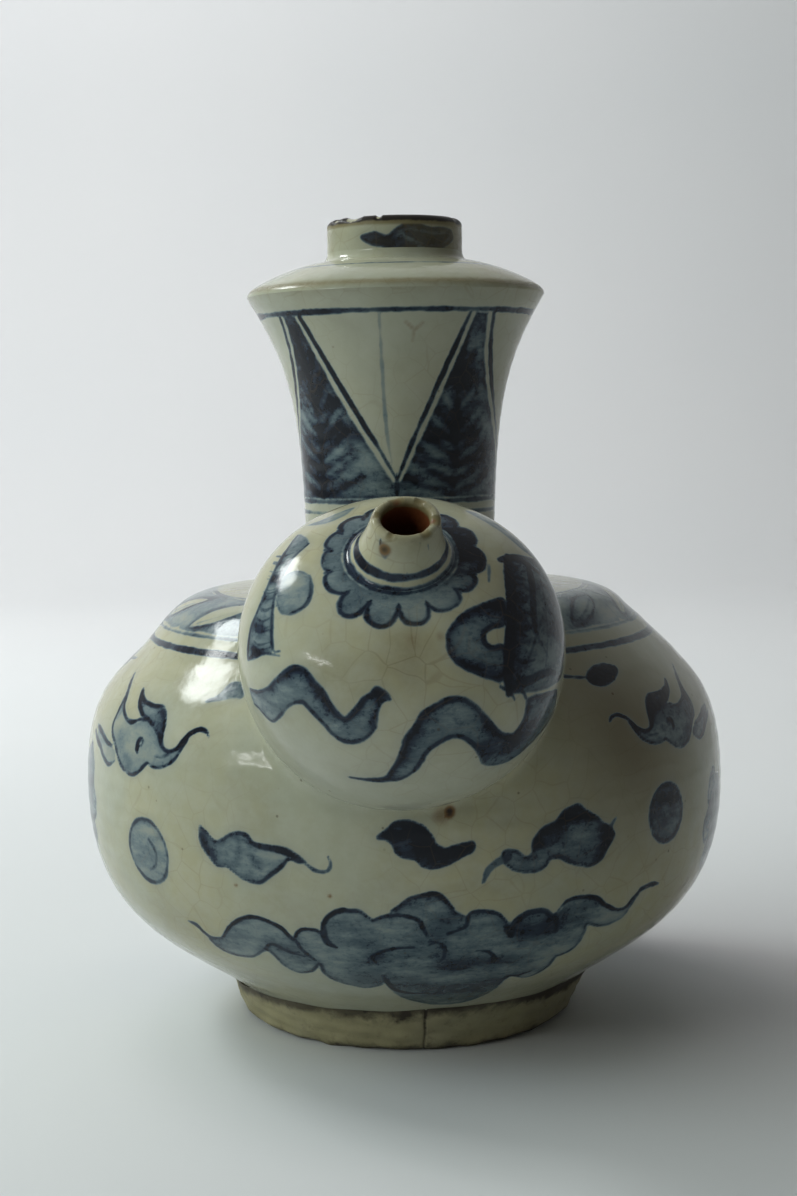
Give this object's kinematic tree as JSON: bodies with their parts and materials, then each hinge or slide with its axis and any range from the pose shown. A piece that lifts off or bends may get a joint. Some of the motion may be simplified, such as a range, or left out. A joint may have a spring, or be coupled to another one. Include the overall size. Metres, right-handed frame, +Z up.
{
  "type": "kendi",
  "caption": "Squat round ceramic kendi with a flared neck, a flanged mouth and a breast-shaped spout, painted in underglaze blue.",
  "frame": {"origin": "centre of the foot ring, on the plane it stands on", "axes": "+Z up along the pot's axis to the mouth, the spout leans towards -Y, +X to the right seen from the spout's side"},
  "size_m": [0.1616, 0.19, 0.2],
  "materials": {
    "painted_glaze": "clear grey-green glaze over cobalt brushwork",
    "stained_glaze": "thin glaze with a buff stain and a dark worn rim",
    "bare_foot": "bare, stained clay",
    "inner_clay": "bare smeared clay"
  },
  "bodies": {
    "root": {"foot_ring": "bare_foot", "lower_body": "painted_glaze", "belly_lute": "inner_clay", "upper_body": "painted_glaze", "neck": "painted_glaze", "neck_lute": "painted_glaze", "flange_cap": "stained_glaze", "mouth_collar": "stained_glaze", "collar_lute": "stained_glaze", "spout_bulb": "painted_glaze", "spout_lute": "painted_glaze", "spout_nozzle": "painted_glaze"}
  },
  "joints": []
}
